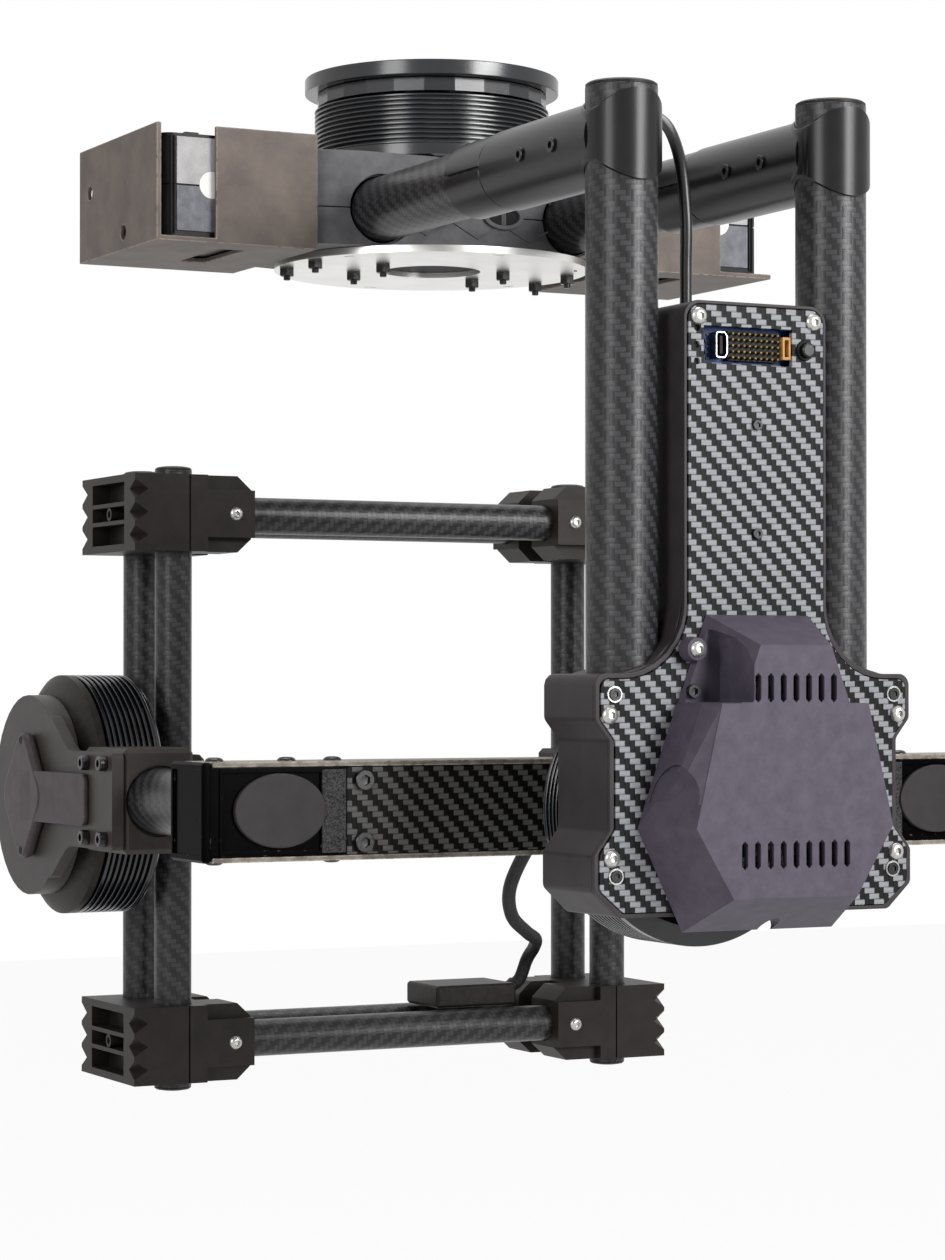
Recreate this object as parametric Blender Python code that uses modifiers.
"""Three-axis camera gimbal: a pan hub, twin carbon masts, a roll motor, a U-shaped yoke and a tilting cage.

The top face of the mount plate is the origin and the object hangs below it. X runs along the tilt axis,
+Y points forward along the roll axis and +Z is up. Lengths below are in millimetres, and heights are
measured from the middle of the cage, which stands a little above the roll axis and the tilt axis.
"""

import math

import bmesh
import bpy
from mathutils import Vector

MM = 0.001
GAP = 0.3
PAST = 5.0

# The mount face stands this far above the cage's middle, with the roll and tilt axes just below it
CAGE_DROP = 285.0
AXIS_Z = -6.5
TILT_Y = 50.0

# Carbon tubes
MAST_R = 12.5
MAST_WALL = 2.0
CAGE_R = 7.5
CAGE_WALL = 1.5
BORE_SLACK = 0.3
CORNER_TURN = math.radians(35)

# Motors
MOTOR_R = 48.0
SHAFT_R = 10.0
SHAFT_BORE_R = 6.0
BEARING_R = 15.0
FIN_PITCH = 2.6
FIN_DEPTH = 2.6
GROOVE_SHARE = 0.45

# Mount plate and pan motor
MOUNT_R = 52.0
MOUNT_THICK = 6.0
MOUNT_HOLE_R = 2.25
MOUNT_HOLE_CIRCLE_R = 42.0

# Hub, bottom plate and battery trays
HUB_X = 69.7
HUB_Y = 43.0
HUB_TOP = 247.0
HUB_BOTTOM = 210.0
PAN_TUBE_X = 42.5
PAN_TUBE_Z = 224.6
PAN_TUBE_FRONT = 30.0
DISC_R = 64.5
DISC_BOTTOM = 207.0
DISC_HOLE_R = 20.0
TRAY_IN = 70.3
TRAY_OUT = 137.5
TRAY_Y = 42.0
TRAY_BOTTOM = 207.0
TRAY_TOP = 252.0
TRAY_SHEET = 2.0
TRAY_PANEL_END = 113.0
BATTERY_SIZE = (60.0, 78.0, 39.7)

# Tees and upright masts
MAST_Y = -232.0
MAST_TOP = 242.0
MAST_BOTTOM = -30.0
COLLAR_FRONT = -124.0
COLLAR_REAR = -152.0
COLLAR_R = 14.2
SLEEVE_R = 14.7
SADDLE_R = 13.9
SADDLE_HEIGHT_R = 15.6

# Roll housing, controller plate and rear cover
HOUSING_REAR = -248.3
HOUSING_FRONT = -214.0
NECK_X = 28.5
NECK_TOP = 168.5
CAVITY_X = 26.0
PLATE_REAR = -250.6
PLATE_THICK = 2.0
COVER_REAR = -275.6
COVER_WALL = 2.4

# Yoke
BEAM_REAR = -159.0
BEAM_DEPTH = 25.5
BEAM_Z = 17.4
BEAM_PLATE = 2.0
BEAM_X = 112.0
STRIP_THICK = 1.8
STRIP_X = 163.0
ELBOW_OUT = 167.0
ARM_X = 136.8
ARM_REAR = -146.5
ARM_FRONT = -14.0

# Tilt head
BLOCK_REAR = -44.0
BLOCK_Z = 20.0
BLOCK_IN = 119.0
BLOCK_OUT = 151.0
END_PLATE_OUT = 156.0
END_DISC_R = 40.0

# Camera cage
CAGE_X = 100.6
CAGE_PAIR_Y = 17.5
CAGE_Z = 106.8
CAGE_REACH = 124.5
CORNER_OUT = 122.0
CORNER_IN = 70.0
CORNER_Y = 30.0
CORNER_Z = 15.5


def at(x, y, height):
    """World position in metres of a point in millimetres, its height taken from the cage's middle."""
    return Vector((x * MM, y * MM, (height - CAGE_DROP) * MM))


def new_collection(name):
    made = bpy.data.collections.new(name)
    bpy.context.scene.collection.children.link(made)
    return made


def finish(name, colour, roughness, metallic=0.0):
    """A Principled material of one colour."""
    material = bpy.data.materials.new(name)
    material.use_nodes = True
    shader = material.node_tree.nodes["Principled BSDF"]
    shader.inputs["Base Color"].default_value = (*colour, 1.0)
    shader.inputs["Roughness"].default_value = roughness
    shader.inputs["Metallic"].default_value = metallic
    return material


def new_body(name, place):
    """An empty on a body's joint axis, which carries that body's pieces."""
    empty = bpy.data.objects.new(name, None)
    empty.empty_display_size = 30 * MM
    empty.location = place
    parts.objects.link(empty)
    return empty


def loose(mesh, place, turn=(0.0, 0.0, 0.0)):
    shape = bpy.data.objects.new("shape", mesh)
    shape.location = place
    shape.rotation_euler = turn
    return shape


def part(name, shape, body, material):
    """Makes a shape one of the object's pieces: named, coloured and parented to its body."""
    shape.name = name
    shape.data.name = name
    shape.data.materials.append(material)
    shape.data.shade_smooth()
    shape.data.set_sharp_from_angle(angle=CORNER_TURN)
    parts.objects.link(shape)
    shape.parent = body
    shape.location = shape.location - body.location
    return shape


def combine(shape, tool, operation):
    if not tool.users_collection:
        cutters.objects.link(tool)
    tool.hide_render = True
    tool.display_type = "WIRE"
    step = shape.modifiers.new(operation.lower(), "BOOLEAN")
    step.operation = operation
    step.object = tool
    return shape


def cut(shape, *tools):
    for tool in tools:
        combine(shape, tool, "DIFFERENCE")
    return shape


def join(shape, *tools):
    for tool in tools:
        combine(shape, tool, "UNION")
    return shape


def soften(shape, width, segments=1):
    """Rounds or chamfers the edges of a shape."""
    bevel = shape.modifiers.new("soften", "BEVEL")
    bevel.width = width * MM
    bevel.segments = segments
    bevel.limit_method = "ANGLE"
    return shape


def box(low, high):
    """A block between two corners, each given as (x, y, height)."""
    mesh = bpy.data.meshes.new("box")
    shape = bmesh.new()
    size = [abs(b - a) * MM for a, b in zip(low, high)]
    bmesh.ops.create_cube(shape, size=1.0)
    bmesh.ops.scale(shape, vec=size, verts=shape.verts)
    shape.to_mesh(mesh)
    shape.free()
    return loose(mesh, at(*[(a + b) / 2 for a, b in zip(low, high)]))


TURN = {"X": (0.0, math.pi / 2, 0.0), "Y": (-math.pi / 2, 0.0, 0.0), "Z": (0.0, 0.0, 0.0)}


def along(axis, start, end, across):
    """The middle of a run along an axis, and its length. across holds the other two coordinates in order."""
    middle = list(across)
    middle.insert("XYZ".index(axis), (start + end) / 2)
    return at(*middle), abs(end - start)


def rod(radius, axis, start, end, across, sides=20):
    """A solid cylinder along an axis, from start to end."""
    place, length = along(axis, start, end, across)
    mesh = bpy.data.meshes.new("rod")
    shape = bmesh.new()
    bmesh.ops.create_cone(
        shape,
        cap_ends=True,
        segments=sides,
        radius1=radius * MM,
        radius2=radius * MM,
        depth=length * MM,
    )
    shape.to_mesh(mesh)
    shape.free()
    return loose(mesh, place, TURN[axis])


def turned(profile, axis, across, sides=24):
    """A ring turned from a closed profile of (radius, place along the axis), read down its outer side."""
    mesh = bpy.data.meshes.new("turned")
    drop = -CAGE_DROP if axis == "Z" else 0.0
    points = [(radius * MM, 0.0, (run + drop) * MM) for radius, run in profile]
    count = len(points)
    mesh.from_pydata(points, [(i, (i + 1) % count) for i in range(count)], [])
    origin = list(across)
    origin.insert("XYZ".index(axis), 0.0)
    place = at(*origin)
    if axis == "Z":
        place.z = 0.0
    shape = loose(mesh, place, TURN[axis])
    screw = shape.modifiers.new("turn", "SCREW")
    screw.steps = sides
    screw.render_steps = sides
    screw.use_merge_vertices = True
    screw.merge_threshold = 0.00001
    return shape


def ring(outer, inner, axis, start, end, across, sides=20):
    """A tube between two places along an axis."""
    low, high = min(start, end), max(start, end)
    profile = [(outer, high), (outer, low), (inner, low), (inner, high)]
    return turned(profile, axis, across, sides)


def rounded(corners, steps=3):
    """An outline whose corners (x, y, radius) are arcs."""
    points = []
    count = len(corners)
    for i, (x, y, radius) in enumerate(corners):
        here = Vector((x, y))
        back = (Vector(corners[i - 1][:2]) - here).normalized()
        ahead = (Vector(corners[(i + 1) % count][:2]) - here).normalized()
        if not radius:
            points.append((x, y))
            continue
        half = back.angle(ahead) / 2
        reach = radius / math.tan(half)
        centre = here + (back + ahead).normalized() * (radius / math.sin(half))
        first = here + back * reach - centre
        last = here + ahead * reach - centre
        sweep = math.atan2(first.x * last.y - first.y * last.x, first.dot(last))
        for step in range(steps + 1):
            turn = sweep * step / steps
            cos, sin = math.cos(turn), math.sin(turn)
            across = first.x * cos - first.y * sin
            rise = first.x * sin + first.y * cos
            points.append((centre.x + across, centre.y + rise))
    return points


def mirrored(half):
    """A whole outline from its right half, listed from top to bottom."""
    return half + [(-x, y, *rest) for x, y, *rest in reversed(half)]


def circle(x, y, radius, sides=12):
    turns = [2 * math.pi * i / sides for i in range(sides)]
    return [(x + radius * math.cos(turn), y + radius * math.sin(turn)) for turn in turns]


def slot(x, low, high, width, steps):
    """A standing slot with round ends."""
    half = width / 2
    corners = [(x - half, low, half), (x + half, low, half), (x + half, high, half), (x - half, high, half)]
    return rounded([(px, py, r * 0.99) for px, py, r in corners], steps)


def slab(outlines, thick):
    """A flat plate from its outline and the outlines of its holes, as a mesh centred on its own plane."""
    curve = bpy.data.curves.new("outline", "CURVE")
    curve.dimensions = "2D"
    curve.fill_mode = "BOTH"
    curve.extrude = thick * MM / 2
    for outline in outlines:
        spline = curve.splines.new("POLY")
        spline.points.add(len(outline) - 1)
        for point, (x, y) in zip(spline.points, outline):
            point.co = (x * MM, y * MM, 0.0, 1.0)
        spline.use_cyclic_u = True
    guide = bpy.data.objects.new("outline", curve)
    bpy.context.scene.collection.objects.link(guide)
    graph = bpy.context.evaluated_depsgraph_get()
    mesh = bpy.data.meshes.new_from_object(guide.evaluated_get(graph))
    bpy.data.objects.remove(guide)
    shape = bmesh.new()
    shape.from_mesh(mesh)
    bmesh.ops.remove_doubles(shape, verts=shape.verts, dist=0.000001)
    shape.to_mesh(mesh)
    shape.free()
    return mesh


def rear_slab(outlines, rear, thick):
    """A plate that stands across Y, from outlines in (x, height)."""
    turn = (math.pi / 2, 0.0, 0.0)
    return loose(slab(outlines, thick), at(0, rear + thick / 2, 0), turn)


def level_slab(outlines, low, thick):
    """A plate that lies level, from outlines in (x, y)."""
    return loose(slab(outlines, thick), at(0, 0, low + thick / 2))


def side_slab(outlines, low_x, thick):
    """A plate that stands across X, from outlines in (y, height)."""
    turn = (math.pi / 2, 0.0, math.pi / 2)
    return loose(slab(outlines, thick), at(low_x + thick / 2, 0, 0), turn)


def frustum(base, base_y, face, face_y):
    """A solid between two convex outlines in (x, height) that stand across Y at different depths."""
    mesh = bpy.data.meshes.new("frustum")
    shape = bmesh.new()
    near = [shape.verts.new((x * MM, base_y * MM, z * MM)) for x, z in base]
    far = [shape.verts.new((x * MM, face_y * MM, z * MM)) for x, z in face]
    shape.faces.new(near)
    shape.faces.new(list(reversed(far)))
    count = len(base)
    for i in range(count):
        after = (i + 1) % count
        shape.faces.new((near[i], far[i], far[after], near[after]))
    bmesh.ops.recalc_face_normals(shape, faces=shape.faces)
    shape.to_mesh(mesh)
    shape.free()
    return loose(mesh, at(0, 0, 0))


def smooth_route(route, spacing):
    """Points along a smooth curve through a route's own points, about one spacing apart."""
    points = []
    ends = [route[0] * 2 - route[1], *route, route[-1] * 2 - route[-2]]
    for before, start, end, after in zip(ends, ends[1:], ends[2:], ends[3:]):
        steps = max(1, round((end - start).length / spacing))
        for step in range(steps):
            t = step / steps
            pull = (end - before) * t + (before * 2 - start * 5 + end * 4 - after) * t**2
            points.append(start + (pull + (start * 3 - before - end * 3 + after) * t**3) / 2)
    points.append(route[-1])
    return points


def cable(name, route, diameter, body, material):
    """A round cable along a route of world positions, as a bevelled curve."""
    curve = bpy.data.curves.new(name, "CURVE")
    curve.dimensions = "3D"
    curve.bevel_depth = diameter * MM / 2
    curve.bevel_resolution = 2
    curve.use_fill_caps = True
    points = smooth_route(route, 2.5 * diameter * MM)
    spline = curve.splines.new("POLY")
    spline.points.add(len(points) - 1)
    for point, place in zip(spline.points, points):
        point.co = (*(place - body.location), 1.0)
    curve.materials.append(material)
    made = bpy.data.objects.new(name, curve)
    parts.objects.link(made)
    made.parent = body
    return made


def finned(radius, inner, floor, bore, start, end, band, fins):
    """Closed profile of a motor bell with ring fins, from its open rim at start to its floor at end."""
    step = 1.0 if end > start else -1.0
    outer = [(radius, start)]
    place = end - step * band
    grooves = []
    for _ in range(fins):
        grooves += [(radius, place), (radius - FIN_DEPTH, place)]
        place -= step * FIN_PITCH * GROOVE_SHARE
        grooves += [(radius - FIN_DEPTH, place), (radius, place)]
        place -= step * FIN_PITCH * (1 - GROOVE_SHARE)
    outer += list(reversed(grooves)) + [(radius, end)]
    inside = [(bore, end), (bore, end - step * floor), (inner, end - step * floor), (inner, start)]
    profile = outer + inside
    return profile if step < 0 else list(reversed(profile))


for old in list(bpy.data.objects):
    bpy.data.objects.remove(old)

parts = new_collection("gimbal_stabilizer")
cutters = new_collection("cutters")
cutters.hide_render = True

CARBON = finish("twill carbon fibre", (0.03, 0.03, 0.033), 0.35)
ANODISED = finish("black anodised aluminium", (0.02, 0.022, 0.026), 0.35, 0.9)
MOULDED = finish("dark grey moulded nylon", (0.045, 0.038, 0.036), 0.6)
COVER = finish("purple-grey moulded nylon", (0.11, 0.098, 0.11), 0.65)
TRAY = finish("brown-grey coated sheet", (0.10, 0.085, 0.08), 0.6)
BATTERY = finish("textured battery case", (0.12, 0.13, 0.15), 0.5)
SILVER = finish("bare aluminium", (0.75, 0.76, 0.78), 0.3, 1.0)
STEEL = finish("ground steel", (0.5, 0.5, 0.52), 0.25, 1.0)
COPPER = finish("wound stator", (0.25, 0.1, 0.05), 0.45, 0.6)
GLOSS = finish("gloss black nylon", (0.01, 0.01, 0.011), 0.2)
BOARD = finish("blue circuit board", (0.02, 0.06, 0.2), 0.4)
RUBBER = finish("black cable jacket", (0.012, 0.012, 0.012), 0.5)

mount = new_body("mount_body", at(0, 0, CAGE_DROP))
pan = new_body("pan_body", at(0, 0, CAGE_DROP))
yoke = new_body("yoke_body", at(0, HOUSING_FRONT, AXIS_Z))
arms = new_body("arms_body", at(0, BEAM_REAR, AXIS_Z))
cage = new_body("cage_body", at(0, TILT_Y, AXIS_Z))

# Mount plate, with four holes for screws to the carrier
plate_low = CAGE_DROP - MOUNT_THICK
mount_plate = rod(MOUNT_R, "Z", plate_low, CAGE_DROP, (0, 0), 32)
for quarter in range(4):
    turn = math.pi / 4 + quarter * math.pi / 2
    spot = (MOUNT_HOLE_CIRCLE_R * math.cos(turn), MOUNT_HOLE_CIRCLE_R * math.sin(turn))
    cut(mount_plate, rod(MOUNT_HOLE_R, "Z", plate_low - PAST, CAGE_DROP + PAST, spot, 8))
part("mount_plate", mount_plate, mount, ANODISED)

# Pan motor: the stator hangs from the mount plate, and the finned bell turns with the hub
BELL_LOW = HUB_TOP + GAP
BELL_HIGH = 272.5
BELL_INNER_R = 41.0
BELL_FLOOR = 3.0
CORE_R = 37.0
CORE_LIFT = 5.0
FLANGE_LIFT = 1.0
PAN_BAND, PAN_FINS = 6.0, 5
PAN_BEARING = (256.0, 266.0)
PAN_SHAFT = (216.0, 276.0)
stator_top = plate_low - GAP
flange_r = MOTOR_R - 1
stator_profile = [
    (flange_r, stator_top),
    (flange_r, BELL_HIGH + FLANGE_LIFT),
    (CORE_R, BELL_HIGH + FLANGE_LIFT),
    (CORE_R, BELL_LOW + CORE_LIFT),
    (BEARING_R + GAP, BELL_LOW + CORE_LIFT),
    (BEARING_R + GAP, stator_top),
]
part("pan_motor_stator", turned(stator_profile, "Z", (0, 0)), mount, COPPER)
part("pan_bearing", ring(BEARING_R, SHAFT_R + GAP, "Z", *PAN_BEARING, (0, 0)), mount, STEEL)
bell = finned(MOTOR_R, BELL_INNER_R, BELL_FLOOR, SHAFT_R + GAP, BELL_HIGH, BELL_LOW, PAN_BAND, PAN_FINS)
part("pan_motor_bell", turned(bell, "Z", (0, 0)), pan, ANODISED)
part("pan_shaft", ring(SHAFT_R, SHAFT_BORE_R, "Z", *PAN_SHAFT, (0, 0)), pan, STEEL)

# Hub: two moulded halves that clamp the pan tubes where they part
HUB_CAVITY_Y = 36.0
HUB_ROUND = 3.0
HUB_ROOF = 4.0
HUB_FLOOR = 3.0
seat_r = MAST_R + BORE_SLACK


def hub_half(low, high, floor, roof):
    half = soften(box((-HUB_X, -HUB_Y, low), (HUB_X, HUB_Y, high)), HUB_ROUND)
    cut(half, box((-CAVITY_X, -HUB_CAVITY_Y, floor), (CAVITY_X, HUB_CAVITY_Y, roof)))
    for side in (-1, 1):
        cut(half, rod(seat_r, "Y", -HUB_Y - PAST, PAN_TUBE_FRONT + GAP, (side * PAN_TUBE_X, PAN_TUBE_Z)))
    return half


seam = GAP / 2
upper = hub_half(PAN_TUBE_Z + seam, HUB_TOP, PAN_TUBE_Z - PAST, HUB_TOP - HUB_ROOF)
cut(upper, rod(SHAFT_R + GAP, "Z", PAN_TUBE_Z, HUB_TOP + PAST, (0, 0)))
part("hub_upper_shell", upper, pan, MOULDED)
lower = hub_half(HUB_BOTTOM, PAN_TUBE_Z - seam, HUB_BOTTOM + HUB_FLOOR, PAN_TUBE_Z + PAST)
part("hub_lower_shell", lower, pan, MOULDED)
disc = ring(DISC_R, DISC_HOLE_R, "Z", DISC_BOTTOM, HUB_BOTTOM - GAP, (0, 0), 40)
part("hub_bottom_plate", disc, pan, SILVER)

# Battery trays: folded sheet boxes, open at the top. The left one has an end wall, the right one has none
STRAP_SLOT = ((94.0, -26.0), (105.0, 16.0))
END_HOLES = ((30.5, 234.0, 2.8), (-6.4, 214.0, 3.0))
BATTERY_SLACK = 1.5
BATTERY_ROUND = 3.0
for side, name in ((-1, "left"), (1, "right")):
    tray = box((side * TRAY_IN, -TRAY_Y, TRAY_BOTTOM), (side * TRAY_OUT, TRAY_Y, TRAY_TOP))
    wall = TRAY_SHEET
    inside_x = (side * (TRAY_IN + wall), side * (TRAY_OUT - wall))
    floor = TRAY_BOTTOM + wall
    low, high = TRAY_BOTTOM - PAST, TRAY_TOP + PAST
    cut(tray, box((inside_x[0], wall - TRAY_Y, floor), (inside_x[1], TRAY_Y - wall, high)))
    gap_end = TRAY_OUT - wall if side < 0 else TRAY_OUT + PAST
    cut(tray, box((side * TRAY_PANEL_END, -TRAY_Y - PAST, floor), (side * gap_end, TRAY_Y + PAST, high)))
    (slot_in, slot_rear), (slot_out, slot_front) = STRAP_SLOT
    cut(tray, box((side * slot_in, slot_rear, low), (side * slot_out, slot_front, floor + GAP)))
    cut(tray, rod(DISC_R + GAP, "Z", low, high, (0, 0), 48))
    if side < 0:
        for y, height, radius in END_HOLES:
            cut(tray, rod(radius, "X", -TRAY_OUT - PAST, PAST - TRAY_OUT, (y, height), 12))
    part(f"battery_tray_{name}", tray, pan, TRAY)
    length, depth, height = BATTERY_SIZE
    inner = TRAY_IN + wall + BATTERY_SLACK
    low = floor + GAP
    pack = box((side * inner, -depth / 2, low), (side * (inner + length), depth / 2, low + height))
    carrier = new_body(f"battery_{name}_body", at(side * (inner + length / 2), 0, low))
    part(f"battery_{name}", soften(pack, BATTERY_ROUND, 2), carrier, BATTERY)

# Pan tubes, tees and upright masts. A tee is a split collar and a sleeve that ends in a saddle round its mast
TUBE_STOP = 2.0
SADDLE_BLANK = 30.0
SLIT = 1.6
tube_rear = MAST_Y + seat_r + TUBE_STOP
saddle_ends = (PAN_TUBE_Z - SADDLE_BLANK, PAN_TUBE_Z + SADDLE_BLANK)
for side, name in ((-1, "left"), (1, "right")):
    x = side * PAN_TUBE_X
    spot = (x, PAN_TUBE_Z)
    pan_tube = ring(MAST_R, MAST_R - MAST_WALL, "Y", tube_rear, PAN_TUBE_FRONT, spot)
    part(f"pan_tube_{name}", pan_tube, pan, CARBON)
    tee = rod(SADDLE_R, "Z", *saddle_ends, (x, MAST_Y), 24)
    blank_ends = (MAST_Y - SADDLE_BLANK, MAST_Y + SADDLE_BLANK)
    combine(tee, rod(SADDLE_HEIGHT_R, "Y", *blank_ends, spot, 24), "INTERSECT")
    join(tee, rod(SLEEVE_R, "Y", MAST_Y, COLLAR_REAR, spot, 24))
    join(tee, rod(COLLAR_R, "Y", COLLAR_REAR - PAST, COLLAR_FRONT, spot, 24))
    cut(tee, rod(seat_r, "Y", tube_rear - GAP, COLLAR_FRONT + PAST, spot))
    cut(tee, rod(seat_r, "Z", saddle_ends[0] - PAST, saddle_ends[1] + PAST, (x, MAST_Y)))
    slit_low = (x - SLEEVE_R - PAST, COLLAR_REAR, PAN_TUBE_Z - SLIT / 2)
    cut(tee, box(slit_low, (x, COLLAR_FRONT + PAST, PAN_TUBE_Z + SLIT / 2)))
    part(f"tee_{name}", tee, pan, ANODISED)
    mast = ring(MAST_R, MAST_R - MAST_WALL, "Z", MAST_BOTTOM, MAST_TOP, (x, MAST_Y))
    part(f"upright_tube_{name}", mast, pan, CARBON)

# Roll housing: a deep tray with a tall neck between the masts and ears that hold them
HOUSING_HALF = [
    (NECK_X, NECK_TOP, 6),
    (NECK_X, 41.5, 24),
    (63.0, 41.5, 4),
    (63.0, 26.0, 3),
    (57.5, 19.0, 3),
    (57.5, -11.5, 3),
    (63.5, -19.5, 3),
    (63.5, -31.5, 3),
    (54.0, -40.5, 3),
]
HOUSING_WALL = 4.0
CAVITY_LOW = -36.0
CABLE_X = -17.0
CABLE_HOLE_R = 2.6
roll_axis = (0, AXIS_Z)
housing_depth = HOUSING_FRONT - HOUSING_REAR
housing = rear_slab([rounded(mirrored(HOUSING_HALF))], HOUSING_REAR, housing_depth)
cavity_low = (-CAVITY_X, HOUSING_REAR - PAST, CAVITY_LOW)
cut(housing, box(cavity_low, (CAVITY_X, HOUSING_FRONT - HOUSING_WALL, NECK_TOP - HOUSING_WALL)))
cut(housing, rod(SHAFT_R + GAP, "Y", HOUSING_FRONT - 2 * PAST, HOUSING_FRONT + PAST, roll_axis))
cut(housing, rod(CABLE_HOLE_R, "Z", NECK_TOP - 2 * PAST, NECK_TOP + PAST, (CABLE_X, MAST_Y), 12))
for side in (-1, 1):
    cut(housing, rod(seat_r, "Z", MAST_BOTTOM - GAP, NECK_TOP, (side * PAN_TUBE_X, MAST_Y)))
part("roll_housing", housing, pan, MOULDED)

# Controller plate: carbon sheet over the housing, with a window for the sockets and small holes
PLATE_HALF = [
    (27.0, 167.0, 5),
    (27.0, 39.5, 25),
    (61.0, 39.5, 3),
    (61.0, 26.0, 3),
    (55.5, 19.0, 3),
    (55.5, -11.0, 3),
    (61.5, -19.0, 3),
    (61.5, -31.0, 3),
    (52.4, -38.8, 2),
]
WINDOW_LOW = (-21.0, 147.3)
WINDOW_HIGH = (14.5, 160.0)
BUTTON_X, BUTTON_Z, BUTTON_R = 19.5, 153.0, 2.4
LAMP_X, LAMP_R = -23.7, 1.1
LAMP_HEIGHTS = (147.6, 153.3, 159.0)
window = [WINDOW_LOW, (WINDOW_HIGH[0], WINDOW_LOW[1]), WINDOW_HIGH, (WINDOW_LOW[0], WINDOW_HIGH[1])]
holes = [window, circle(BUTTON_X, BUTTON_Z, BUTTON_R + GAP)]
holes += [circle(LAMP_X, height, LAMP_R, 8) for height in LAMP_HEIGHTS]
plate = rear_slab([rounded(mirrored(PLATE_HALF))] + holes, PLATE_REAR, PLATE_THICK)
part("controller_plate", plate, pan, CARBON)

# Controller board behind the window, with its pin header, upright socket and side connector
BOARD_REAR = -245.3
BOARD_THICK = 1.6
BOARD_X = 24.0
BOARD_LOW, BOARD_HIGH = 95.0, 162.0
HEADER = ((-9.8, 149.0), (10.6, 159.0), 3.0)
UPRIGHT_SOCKET = ((-15.4, 149.2), (-10.6, 158.3), 4.0)
SIDE_SOCKET = ((11.0, 149.5), (14.2, 157.0), 5.0)
board = box((-BOARD_X, BOARD_REAR, BOARD_LOW), (BOARD_X, BOARD_REAR + BOARD_THICK, BOARD_HIGH))
for (left, low), (right, high), stand in (HEADER, UPRIGHT_SOCKET, SIDE_SOCKET):
    join(board, box((left, BOARD_REAR - stand, low), (right, BOARD_REAR + BOARD_THICK / 2, high)))
part("controller_board", board, pan, BOARD)

# Menu button: a stem through the plate with a flange behind it
button_body = new_body("button_body", at(BUTTON_X, PLATE_REAR, BUTTON_Z))
BUTTON_STAND = 3.0
FLANGE_R = 3.3
FLANGE_THICK = 1.0
flange_rear = PLATE_REAR + PLATE_THICK + GAP
flange_front = flange_rear + FLANGE_THICK
button_spot = (BUTTON_X, BUTTON_Z)
button = rod(BUTTON_R, "Y", PLATE_REAR - BUTTON_STAND, flange_front - FLANGE_THICK / 2, button_spot, 16)
join(button, rod(FLANGE_R, "Y", flange_rear, flange_front, button_spot, 16))
part("menu_button", button, button_body, RUBBER)

# Rear cover: a hexagonal shell with a narrower tower above it, screw pockets beside that and rows of vents
COVER_BASE = PLATE_REAR - GAP
hexagon_base = mirrored([(32.0, 31.5), (47.3, -10.5), (30.0, -46.0)])
hexagon_face = mirrored([(29.0, 31.5), (38.9, -10.0), (24.5, -33.7)])
tower_base = mirrored([(20.5, 61.5), (33.5, 26.0)])
tower_face = mirrored([(14.0, 51.0), (23.5, 26.0)])


def inset(outline, amount):
    """An outline drawn in towards its own middle by about the amount."""
    middle_x = sum(x for x, _ in outline) / len(outline)
    middle_z = sum(z for _, z in outline) / len(outline)
    reach = sum(math.hypot(x - middle_x, z - middle_z) for x, z in outline) / len(outline)
    scale = 1 - amount / reach
    return [(middle_x + (x - middle_x) * scale, middle_z + (z - middle_z) * scale) for x, z in outline]


cover = frustum(hexagon_base, COVER_BASE, hexagon_face, COVER_REAR)
join(cover, frustum(tower_base, COVER_BASE, tower_face, COVER_REAR))
SLANT = 1.25
TOWER_HOLLOW_X = 14.2
TOWER_HOLLOW_Z = (25.0, 47.0)
wall = COVER_WALL * SLANT
hollow = (COVER_BASE + PAST, COVER_REAR + COVER_WALL)
cut(cover, frustum(inset(hexagon_base, wall), hollow[0], inset(hexagon_face, wall), hollow[1]))
tower_low, tower_high = TOWER_HOLLOW_Z
cut(cover, box((-TOWER_HOLLOW_X, hollow[1], tower_low), (TOWER_HOLLOW_X, hollow[0], tower_high)))
VENT_ROWS = ((7, 5.0, 31.7, 41.7), (9, 5.06, -24.0, -14.4))
VENT_WIDTH = 2.4
for count, pitch, low, high in VENT_ROWS:
    for i in range(count):
        vent = slot((i - (count - 1) / 2) * pitch, low, high, VENT_WIDTH, 1)
        cut(cover, rear_slab([vent], COVER_REAR - PAST, 2 * PAST))
SCREW_FLOOR = 2.5
SCREW_POCKETS = ((-1, -31.5, -16.5, 7.0), (1, 25.0, 33.0, 3.9))
SCREW_POCKET_LOW, SCREW_POCKET_HIGH = 31.8, 57.0
SCALLOP_X, SCALLOP_Z, SCALLOP_R = 46.0, 6.0, 8.0
pocket_floor = COVER_BASE - SCREW_FLOOR
for side, left, right, arch_r in SCREW_POCKETS:
    arch = [(left, SCREW_POCKET_LOW, 1), (right, SCREW_POCKET_LOW, 1)]
    arch += [(right, SCREW_POCKET_HIGH, arch_r), (left, SCREW_POCKET_HIGH, arch_r)]
    cut(cover, rear_slab([rounded(arch)], COVER_REAR - PAST, pocket_floor - COVER_REAR + PAST))
    cut(cover, rod(SCALLOP_R, "Y", COVER_REAR - PAST, pocket_floor, (side * SCALLOP_X, SCALLOP_Z)))
NOTCH_X, NOTCH_Z, NOTCH_R = 2.4, -44.5, 3.0
NOTCH_DEPTH = 12.0
cut(cover, rod(NOTCH_R, "Y", COVER_BASE - NOTCH_DEPTH, COVER_BASE + PAST, (NOTCH_X, NOTCH_Z), 16))
part("rear_cover", cover, pan, COVER)

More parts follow.
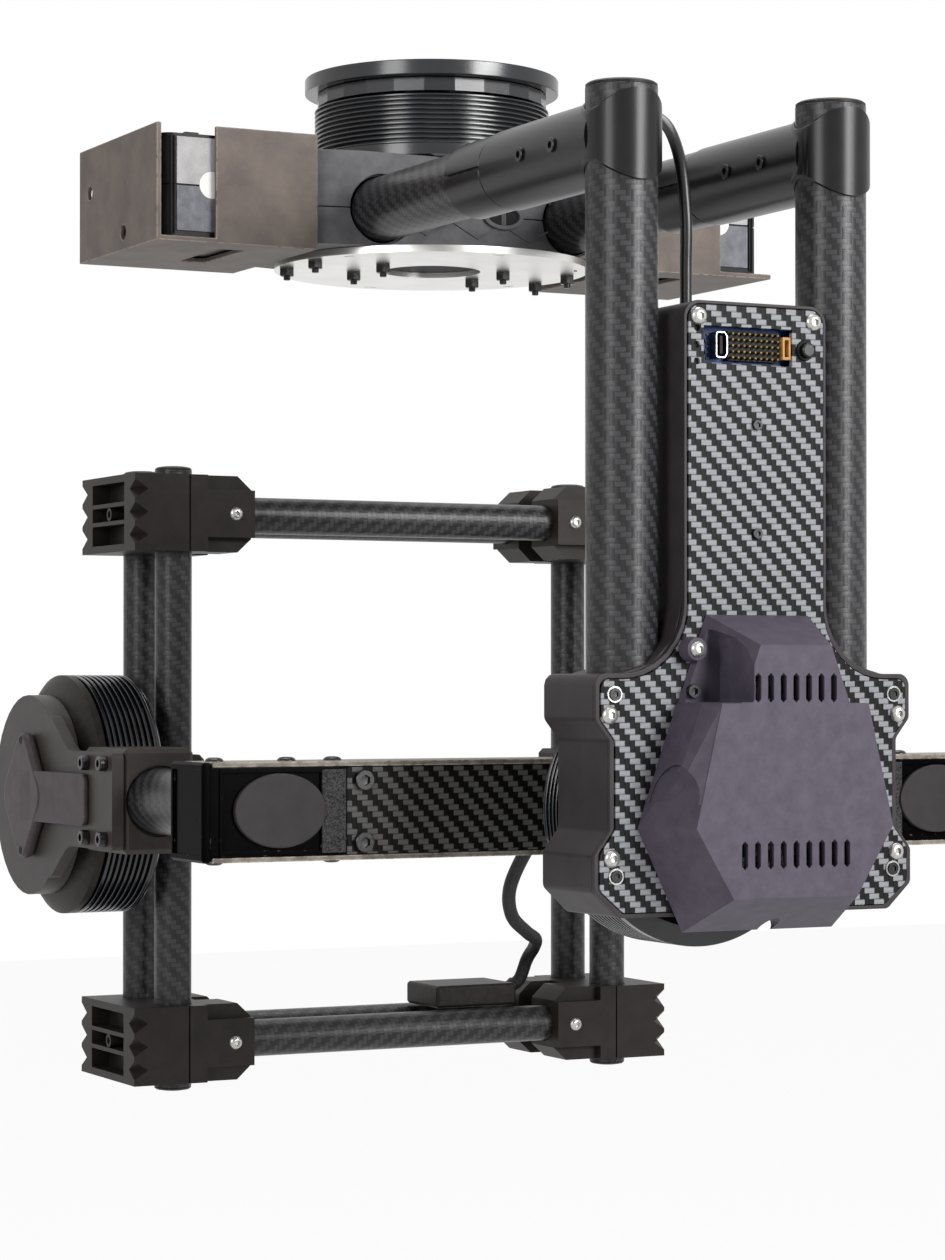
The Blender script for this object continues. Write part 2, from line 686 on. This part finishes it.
# Pan cable: from the hub over to the neck of the housing
CABLE_D = 4.2
cable_route = [
    at(-5, -HUB_Y - GAP, 228),
    at(-6, -70, 230),
    at(-9, -130, 236),
    at(-13, -185, 240),
    at(-16, -213, 236),
    at(CABLE_X, -227, 222),
    at(CABLE_X, MAST_Y, 200),
    at(CABLE_X, MAST_Y, 180),
    at(CABLE_X, MAST_Y, 160),
]
cable("pan_cable", cable_route, CABLE_D, pan, RUBBER)

# Roll motor: the stator sits on the housing, and the finned bell turns with the yoke
ROLL_BELL_REAR, ROLL_BELL_FRONT = -213.0, -185.0
ROLL_BAND, ROLL_FINS = 3.0, 7
ROLL_BEARING = (-210.0, -200.0)
ROLL_SHAFT_REAR = -217.0
BOSS_R = 28.0
beam_front = BEAM_REAR + BEAM_DEPTH
stator_ends = (HOUSING_FRONT + GAP, ROLL_BELL_FRONT - CORE_LIFT)
roll_core = ring(CORE_R, BEARING_R + GAP, "Y", *stator_ends, roll_axis, 24)
part("roll_motor_stator", roll_core, pan, COPPER)
part("roll_bearing", ring(BEARING_R, SHAFT_R + GAP, "Y", *ROLL_BEARING, roll_axis), pan, STEEL)
ends = (ROLL_BELL_REAR, ROLL_BELL_FRONT)
bell = finned(MOTOR_R, BELL_INNER_R, BELL_FLOOR, SHAFT_R + GAP, *ends, ROLL_BAND, ROLL_FINS)
roll_bell = turned(bell, "Y", roll_axis)
boss_ends = (ROLL_BELL_FRONT - BELL_FLOOR / 2, BEAM_REAR - GAP)
join(roll_bell, ring(BOSS_R, SHAFT_R + GAP, "Y", *boss_ends, roll_axis, 24))
part("roll_motor_bell", roll_bell, yoke, ANODISED)
part("roll_shaft", ring(SHAFT_R, SHAFT_BORE_R, "Y", ROLL_SHAFT_REAR, beam_front, roll_axis), yoke, STEEL)

# Yoke beam: carbon plates front and rear, between aluminium strips that run out over the elbows
plate_z = BEAM_Z - STRIP_THICK - GAP
beam_hole = circle(*roll_axis, SHAFT_R + GAP, 24)
beam_low, beam_high = AXIS_Z - plate_z, AXIS_Z + plate_z
beam_outline = [(-BEAM_X, beam_low), (BEAM_X, beam_low), (BEAM_X, beam_high), (-BEAM_X, beam_high)]
for rear, name in ((BEAM_REAR, "rear"), (beam_front - BEAM_PLATE, "front")):
    beam_plate = rear_slab([beam_outline, beam_hole], rear, BEAM_PLATE)
    part(f"beam_{name}_plate", beam_plate, yoke, CARBON)
for sign, name in ((1, "top"), (-1, "bottom")):
    inner, outer = AXIS_Z + sign * (BEAM_Z - STRIP_THICK), AXIS_Z + sign * BEAM_Z
    strip = box((-STRIP_X, BEAM_REAR, inner), (STRIP_X, beam_front, outer))
    part(f"beam_{name}_strip", strip, yoke, SILVER)

# Elbows: moulded corners on the beam's ends, bored for the arm tubes, with cheeks over the strips' ends
ELBOW_REAR = BEAM_REAR - 0.8
ELBOW_FRONT = beam_front + 4
ELBOW_WALL = 2.8
for side, name in ((-1, "left"), (1, "right")):
    cheek_x = side * (STRIP_X + GAP)
    corners = [
        (side * (BEAM_X + GAP), ELBOW_REAR, 0),
        (side * ELBOW_OUT, ELBOW_REAR, 3),
        (side * ELBOW_OUT, ELBOW_FRONT, 3),
        (side * (BEAM_X + GAP), ELBOW_FRONT, 6),
    ]
    elbow = level_slab([rounded(corners)], beam_low, 2 * plate_z)
    cheek_low = (cheek_x, ELBOW_REAR, AXIS_Z - BEAM_Z)
    join(elbow, soften(box(cheek_low, (side * ELBOW_OUT, ELBOW_FRONT, AXIS_Z + BEAM_Z)), 1))
    cut(elbow, rod(seat_r, "Y", ELBOW_REAR + ELBOW_WALL, ELBOW_FRONT + PAST, (side * ARM_X, AXIS_Z)))
    part(f"elbow_{name}", elbow, yoke, GLOSS)

# Arm tubes, from the elbows to the tilt head and the idler
for side, name in ((-1, "left"), (1, "right")):
    arm = ring(MAST_R, MAST_R - MAST_WALL, "Y", ARM_REAR, ARM_FRONT, (side * ARM_X, AXIS_Z))
    part(f"arm_tube_{name}", arm, arms, CARBON)

# Tilt head on the left arm: mount block, end plate over it, encoder cap and motor
BLOCK_FRONT = TILT_Y - MOTOR_R - 2
BLOCK_ROUND = 2.0
RELIEF_X = CORNER_OUT + 0.6
RELIEF_Y = -31.0


def arm_block(side, front):
    """A block that grips an arm tube, stepped at its inner rear edge where the cage's corners swing past."""
    outline = [
        (side * BLOCK_OUT, BLOCK_REAR),
        (side * BLOCK_OUT, front),
        (side * BLOCK_IN, front),
        (side * BLOCK_IN, RELIEF_Y),
        (side * RELIEF_X, RELIEF_Y),
        (side * RELIEF_X, BLOCK_REAR),
    ]
    return soften(level_slab([outline], AXIS_Z - BLOCK_Z, 2 * BLOCK_Z), BLOCK_ROUND)


block = arm_block(-1, BLOCK_FRONT)
cut(block, rod(seat_r, "Y", BLOCK_REAR - PAST, BLOCK_FRONT + PAST, (-ARM_X, AXIS_Z)))
part("tilt_mount_block", block, arms, MOULDED)
TONGUE_Z = 18.5
TONGUE_END_Y = 4.0
SHOULDER_REAR, SHOULDER_FRONT = 24.0, 60.0
SHOULDER_Z = 32.0
tongue_half = [
    (BLOCK_REAR, -TONGUE_Z, 2),
    (TONGUE_END_Y, -TONGUE_Z, 12),
    (SHOULDER_REAR, -SHOULDER_Z, 6),
    (SHOULDER_FRONT, -SHOULDER_Z, 3),
]
tongue = tongue_half + [(y, -z, r) for y, z, r in reversed(tongue_half)]
end_outline = rounded([(y, z + AXIS_Z, r) for y, z, r in tongue])
tilt_axis = (TILT_Y, AXIS_Z)
tongue_thick = END_PLATE_OUT - BLOCK_OUT - GAP
end_plate = side_slab([end_outline], -END_PLATE_OUT, tongue_thick)
DISC_IN = 147.3
join(end_plate, rod(END_DISC_R, "X", -END_PLATE_OUT, -DISC_IN, tilt_axis, 40))
part("tilt_end_plate", end_plate, arms, MOULDED)
CAP_OUT = 161.0
CAP_Y, CAP_Z = 24.0, 34.0
CAP_SIDE_R, CAP_END_R = 14, 9
TAB_OUT = 160.0
TAB_REAR = -18.0
TAB_Z = 10.0
TAB_ROUND = 1.2
cap_outline = [(TILT_Y - CAP_Y, AXIS_Z, CAP_SIDE_R), (TILT_Y, AXIS_Z - CAP_Z, CAP_END_R)]
cap_outline += [(TILT_Y + CAP_Y, AXIS_Z, CAP_SIDE_R), (TILT_Y, AXIS_Z + CAP_Z, CAP_END_R)]
cap_in = END_PLATE_OUT + GAP
cap = side_slab([rounded(cap_outline)], -CAP_OUT, CAP_OUT - cap_in)
tab = box((-TAB_OUT, TAB_REAR, AXIS_Z - TAB_Z), (-cap_in, TILT_Y, AXIS_Z + TAB_Z))
join(cap, soften(tab, TAB_ROUND))
part("encoder_cap", cap, arms, MOULDED)
STATOR_OUT = DISC_IN - GAP
STATOR_BAND = 139.0
TILT_BELL_IN, TILT_BELL_OUT = 116.0, 138.2
TILT_BAND, TILT_FINS = 2.0, 7
tilt_stator_profile = [
    (BEARING_R, -STATOR_OUT),
    (BEARING_R, -TILT_BELL_IN - CORE_LIFT),
    (CORE_R, -TILT_BELL_IN - CORE_LIFT),
    (CORE_R, -STATOR_BAND),
    (MOTOR_R, -STATOR_BAND),
    (MOTOR_R, -STATOR_OUT),
]
part("tilt_motor_stator", turned(tilt_stator_profile, "X", tilt_axis), arms, MOULDED)
ends = (-TILT_BELL_OUT, -TILT_BELL_IN)
bell = finned(MOTOR_R, BELL_INNER_R, BELL_FLOOR, SHAFT_R, *ends, TILT_BAND, TILT_FINS)
part("tilt_motor_bell", turned(bell, "X", tilt_axis), cage, ANODISED)

# Idler on the right arm: a block with a bearing, and the shaft that turns in it
IDLER_R = 24.0
IDLER_STEP = 4.0
BEARING_STEP = 8.0
RIGHT_CLAMP_OUT = 108.0
SHAFT_STAND = 1.0
idler = arm_block(1, TILT_Y)
idler_ends = (BLOCK_IN + IDLER_STEP, BLOCK_OUT - IDLER_STEP)
join(idler, rod(IDLER_R, "X", *idler_ends, tilt_axis, 32))
cut(idler, rod(seat_r, "Y", BLOCK_REAR - PAST, ARM_FRONT + GAP, (ARM_X, AXIS_Z)))
cut(idler, rod(BEARING_R + GAP, "X", BLOCK_IN - PAST, BLOCK_OUT + PAST, tilt_axis))
part("idler_block", idler, arms, MOULDED)
bearing_ends = (BLOCK_IN + BEARING_STEP, BLOCK_OUT - BEARING_STEP)
part("idler_bearing", ring(BEARING_R, SHAFT_R + GAP, "X", *bearing_ends, tilt_axis), arms, STEEL)
shaft_ends = (RIGHT_CLAMP_OUT + GAP, BLOCK_OUT + SHAFT_STAND)
part("idler_shaft", ring(SHAFT_R, SHAFT_BORE_R, "X", *shaft_ends, tilt_axis), cage, STEEL)

# Cage clamps: blocks on the tilt motor and on the idler shaft that grip the upright pairs
CLAMP_Z = 16.0
CLAMP_Y = 28.0
CLAMP_IN = 90.5
for side, name, outer in ((-1, "left", TILT_BELL_IN - GAP), (1, "right", RIGHT_CLAMP_OUT)):
    low, high = AXIS_Z - CLAMP_Z, AXIS_Z + CLAMP_Z
    clamp = box((side * outer, TILT_Y - CLAMP_Y, low), (side * CLAMP_IN, TILT_Y + CLAMP_Y, high))
    soften(clamp, BLOCK_ROUND)
    for pair in (-1, 1):
        spot = (side * CAGE_X, TILT_Y + pair * CAGE_PAIR_Y)
        cut(clamp, rod(CAGE_R + BORE_SLACK, "Z", low - PAST, high + PAST, spot, 16))
    part(f"cage_clamp_{name}", clamp, cage, MOULDED)

# Cage: four uprights and four cross tubes, gripped by a moulded clamp at each corner
TUBE_END = CAGE_X - CAGE_R - 1
NOSE_Z = 10.0
NOSE_CHAMFER = 6.0
POCKETS = ((4.5, 12.5), (-2.8, 2.8), (-12.5, -4.5))
POCKET_DEPTH = 8.0
POCKET_Y = 18.0
SADDLE_GAP_Y = 6.0
SADDLE_GAP_X = 16.0
for side, name in ((-1, "left"), (1, "right")):
    for pair, place in ((-1, "rear"), (1, "front")):
        spot = (side * CAGE_X, TILT_Y + pair * CAGE_PAIR_Y)
        upright = ring(CAGE_R, CAGE_R - CAGE_WALL, "Z", -CAGE_REACH, CAGE_REACH, spot, 16)
        part(f"cage_upright_{name}_{place}", upright, cage, CARBON)
for level, height in (("top", CAGE_Z), ("bottom", -CAGE_Z)):
    for pair, place in ((-1, "rear"), (1, "front")):
        spot = (TILT_Y + pair * CAGE_PAIR_Y, height)
        cross = ring(CAGE_R, CAGE_R - CAGE_WALL, "X", -TUBE_END, TUBE_END, spot, 16)
        part(f"cage_cross_{level}_{place}", cross, cage, CARBON)
    for side, name in ((-1, "left"), (1, "right")):
        half = [
            (CORNER_OUT, CORNER_Z),
            (CORNER_IN + NOSE_CHAMFER, CORNER_Z),
            (CORNER_IN, NOSE_Z),
        ]
        outline = half + [(x, -z) for x, z in reversed(half)]
        outline = [(side * x, z + height) for x, z in outline]
        corner = rear_slab([outline], TILT_Y - CORNER_Y, 2 * CORNER_Y)
        for low, high in POCKETS:
            cut(
                corner,
                box(
                    (side * (CORNER_OUT - POCKET_DEPTH), TILT_Y - POCKET_Y, height + low),
                    (side * (CORNER_OUT + PAST), TILT_Y + POCKET_Y, height + high),
                ),
            )
        low, high = height - CORNER_Z - PAST, height + CORNER_Z + PAST
        notch_low = (side * (CORNER_IN - PAST), TILT_Y - SADDLE_GAP_Y, low)
        cut(corner, box(notch_low, (side * (CORNER_IN + SADDLE_GAP_X), TILT_Y + SADDLE_GAP_Y, high)))
        bore = CAGE_R + BORE_SLACK
        for pair in (-1, 1):
            y = TILT_Y + pair * CAGE_PAIR_Y
            cut(corner, rod(bore, "Z", low, high, (side * CAGE_X, y), 16))
            cut(corner, rod(bore, "X", side * (CORNER_IN - PAST), side * (TUBE_END + GAP), (y, height), 16))
        part(f"cage_corner_{level}_{name}", corner, cage, MOULDED)

# Attitude sensor on the bottom cross tubes, and the cable that feeds it from the roll shaft
IMU_LOW = CAGE_R - CAGE_Z + GAP
IMU_IN, IMU_OUT = 20.0, 58.0
IMU_Y = 15.0
IMU_HEIGHT = 9.5
imu = soften(box((IMU_IN, TILT_Y - IMU_Y, IMU_LOW), (IMU_OUT, TILT_Y + IMU_Y, IMU_LOW + IMU_HEIGHT)), 1)
part("imu_box", imu, cage, MOULDED)
SENSOR_CABLE_D = 5.5
PLUG_Z = -93.0
sensor_route = [
    at(0, beam_front - 18, AXIS_Z),
    at(0, beam_front + 12, AXIS_Z),
    at(1, -100, -12),
    at(4, -75, -27),
    at(10, -50, -43),
    at(24, -25, -56),
    at(44, 0, -65),
    at(60, 22, -70),
    at(69, 40, -75),
    at(70, TILT_Y - 1.5, -81),
    at(67, TILT_Y, -89.6),
    at(IMU_OUT + 3, TILT_Y, PLUG_Z),
    at(IMU_OUT + 2 * GAP, TILT_Y, PLUG_Z),
]
cable("imu_cable", sensor_route, SENSOR_CABLE_D, cage, RUBBER)
